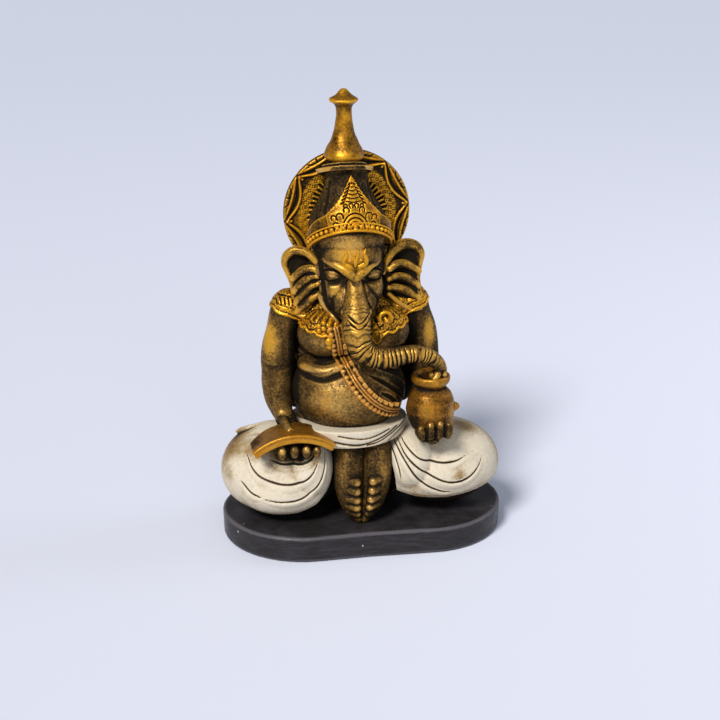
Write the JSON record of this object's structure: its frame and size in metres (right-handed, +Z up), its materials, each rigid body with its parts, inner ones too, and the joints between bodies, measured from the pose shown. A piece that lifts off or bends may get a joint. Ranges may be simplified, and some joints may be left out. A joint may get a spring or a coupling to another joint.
{
  "type": "ganesha idol",
  "caption": "Seated elephant-headed deity statuette with halo, crown, tray and pot, on a rounded black plinth; dark bronze and gold painted cast body with white cloth legs.",
  "frame": {"origin": "centre of the bounding box's underside: the middle of the plinth, on the surface it stands on", "axes": "+Z up, along the statuette's height; +Y towards its back (the figure faces -Y); +X towards the figure's own left hand"},
  "size_m": [0.128, 0.074, 0.2],
  "materials": {
    "bronze_skin": "cast stone resin painted black-bronze, rubbed with gold on the high places",
    "gold_ornament": "cast stone resin with gold paint rubbed over black",
    "dark_crown": "cast stone resin, black satin paint",
    "white_cloth": "cast stone resin, off-white matt paint with sand-brown patina",
    "copper_gold": "cast stone resin, orange-gold paint over black",
    "black_plinth": "cast stone resin, black satin paint",
    "felt": "black pressed felt",
    "steel": "plain steel rod and screws"
  },
  "bodies": {
    "root": {"plinth": "black_plinth", "base_felt": "felt", "plinth_screws": "steel", "hips": "white_cloth", "right_leg": "white_cloth", "left_leg": "white_cloth", "waistband": "white_cloth", "right_foot": "bronze_skin", "left_foot": "bronze_skin", "torso": "bronze_skin", "right_arm": "bronze_skin", "left_arm": "bronze_skin", "right_hand": "bronze_skin", "left_hand": "bronze_skin", "head": "bronze_skin", "trunk": "bronze_skin", "right_ear": "bronze_skin", "left_ear": "bronze_skin", "forehead_mark": "gold_ornament", "crown_band": "gold_ornament", "crown_beads": "gold_ornament", "crown_dome": "dark_crown", "crest": "gold_ornament", "crown_brim": "dark_crown", "finial": "gold_ornament", "halo": "gold_ornament", "collar": "gold_ornament", "flower_brooch": "gold_ornament", "ring_brooch": "gold_ornament", "pendant": "gold_ornament", "sacred_thread": "gold_ornament", "thread_beads": "gold_ornament", "pot": "copper_gold", "pot_knob": "copper_gold", "tray": "copper_gold", "neck_dowel": "steel", "halo_dowel": "steel", "finial_dowel": "steel", "shoulder_dowels": "steel"}
  },
  "joints": []
}
